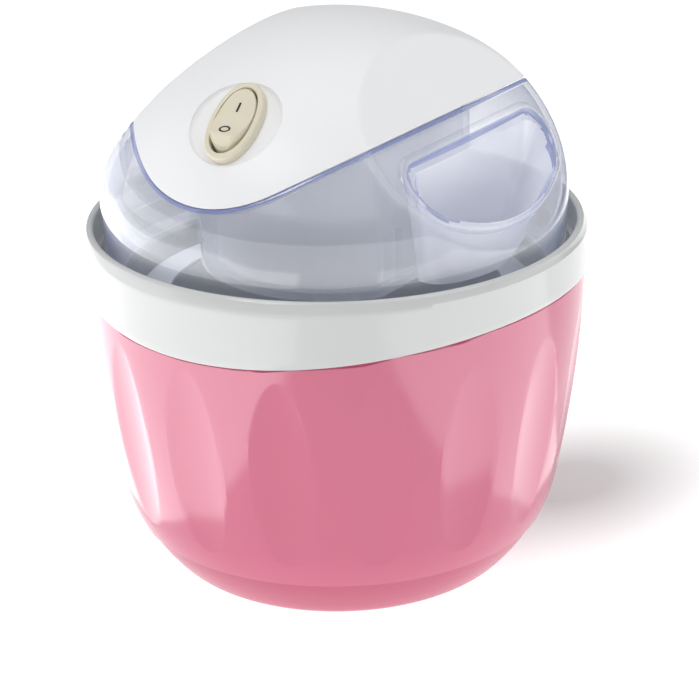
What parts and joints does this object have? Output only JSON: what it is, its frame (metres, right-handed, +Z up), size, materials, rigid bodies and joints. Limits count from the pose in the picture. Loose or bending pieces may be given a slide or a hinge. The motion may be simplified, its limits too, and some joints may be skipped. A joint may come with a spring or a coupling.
{
  "type": "ice cream maker",
  "caption": "Half-litre ice cream maker: fluted housing with a collar, lift-out freezer bowl, clear domed lid with a feed chute, and a geared power unit that turns a paddle.",
  "frame": {"origin": "middle of the four feet, on the worktop", "axes": "+Z up, -Y towards the user and the switch, +X towards the feed mouth"},
  "size_m": [0.18, 0.18, 0.205],
  "materials": {
    "pink_plastic": "gloss",
    "white_plastic": "gloss",
    "rubber": "matte",
    "grey_plastic": "satin",
    "liner_metal": "satin",
    "gel": "satin",
    "clear_plastic": "gloss",
    "bronze": "satin",
    "steel": "satin",
    "copper": "satin",
    "ferrite": "matte",
    "gear_plastic": "satin",
    "cream_plastic": "gloss",
    "wire_plastic": "satin",
    "paddle_plastic": "satin"
  },
  "bodies": {
    "base": {"outer_bowl": "pink_plastic", "collar": "white_plastic", "rubber_feet": "rubber"},
    "freezer_bowl": {"freezer_shell": "grey_plastic", "freezer_liner": "liner_metal", "coolant_gel": "gel", "freezer_rim": "grey_plastic"},
    "lid": {"lid": "clear_plastic"},
    "power_unit": {"motor_cover": "white_plastic", "motor_housing": "white_plastic", "shaft_seal": "rubber", "output_bush": "bronze", "gear_plate": "steel", "idler_pin": "steel", "motor_can": "steel", "motor_coil": "copper", "motor_poles": "steel", "rotor_bushes": "bronze", "switch_body": "cream_plastic", "switch_terminals": "bronze", "cord_gland": "rubber", "leads": "wire_plastic", "cover_screws": "steel", "plate_screws": "steel"},
    "paddle": {"paddle": "paddle_plastic"},
    "rotor": {"rotor_magnet": "ferrite", "rotor_pinion": "steel"},
    "idler": {"idler_gear": "gear_plastic"},
    "output": {"output_gear": "gear_plastic", "output_shaft": "steel"},
    "rocker": {"switch_rocker": "cream_plastic"}
  },
  "joints": [
    {"name": "bowl_lift", "type": "slide", "parent": "base", "child": "freezer_bowl", "axis": [0, 0, 1], "range_m": [0, 0.125]},
    {"name": "lid_lift", "type": "slide", "parent": "freezer_bowl", "child": "lid", "axis": [0, 0, 1], "range_m": [0, 0.09]},
    {"name": "power_unit_lift", "type": "slide", "parent": "lid", "child": "power_unit", "axis": [0, 0, 1], "range_m": [0, 0.08]},
    {"name": "paddle_spin", "type": "hinge", "parent": "lid", "child": "paddle", "pos_m": [0, 0, 0.115], "axis": [0, 0, 1], "continuous": true},
    {"name": "output_spin", "type": "hinge", "parent": "power_unit", "child": "output", "pos_m": [0, 0, 0.12], "axis": [0, 0, 1], "continuous": true},
    {"name": "idler_spin", "type": "hinge", "parent": "power_unit", "child": "idler", "pos_m": [0.01549, 0.01389, 0.13], "axis": [0, 0, 1], "continuous": true},
    {"name": "rotor_spin", "type": "hinge", "parent": "power_unit", "child": "rotor", "pos_m": [0, 0.012, 0.15], "axis": [0, 0, 1], "continuous": true},
    {"name": "rocker_tilt", "type": "hinge", "parent": "power_unit", "child": "rocker", "pos_m": [0.0043, -0.06154, 0.1829], "axis": [0.9976, 0.0698, 0], "range_deg": [0, 20]}
  ],
  "couplings": [
    {"joint": "output_spin", "follows": "paddle_spin", "ratio": 1},
    {"joint": "idler_spin", "follows": "paddle_spin", "ratio": -3.3333},
    {"joint": "rotor_spin", "follows": "paddle_spin", "ratio": 11.111}
  ]
}
